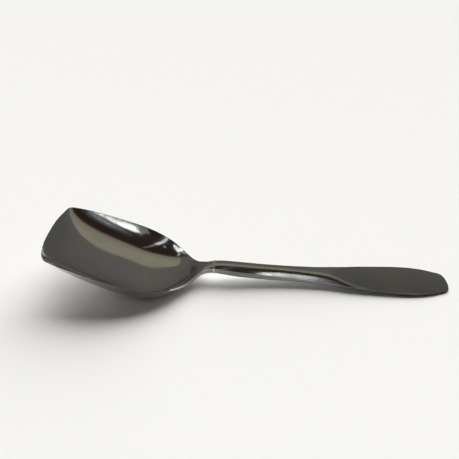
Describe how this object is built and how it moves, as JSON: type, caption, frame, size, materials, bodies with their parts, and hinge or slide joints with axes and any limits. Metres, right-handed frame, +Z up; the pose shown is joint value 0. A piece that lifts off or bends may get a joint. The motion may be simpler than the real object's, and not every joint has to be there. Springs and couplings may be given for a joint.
{
  "type": "serving spoon",
  "caption": "Serving spoon with a deep square-fronted bowl, a short rising neck and a straight handle that widens to a flat rounded paddle.",
  "frame": {"origin": "on the table under the middle of the spoon's length and width", "axes": "+X from the bowl's tip to the end of the handle, +Y across the spoon, +Z up from the table"},
  "size_m": [0.2032, 0.0594, 0.0287],
  "materials": {
    "bowl_steel": "mirror-polished bare stainless steel with fine use scratches",
    "weld_steel": "bare weld metal, ground flush and polished",
    "handle_steel": "polished bare stainless steel, slightly satin on the paddle"
  },
  "bodies": {
    "root": {"bowl": "bowl_steel", "neck_weld": "weld_steel", "handle": "handle_steel"}
  },
  "joints": []
}
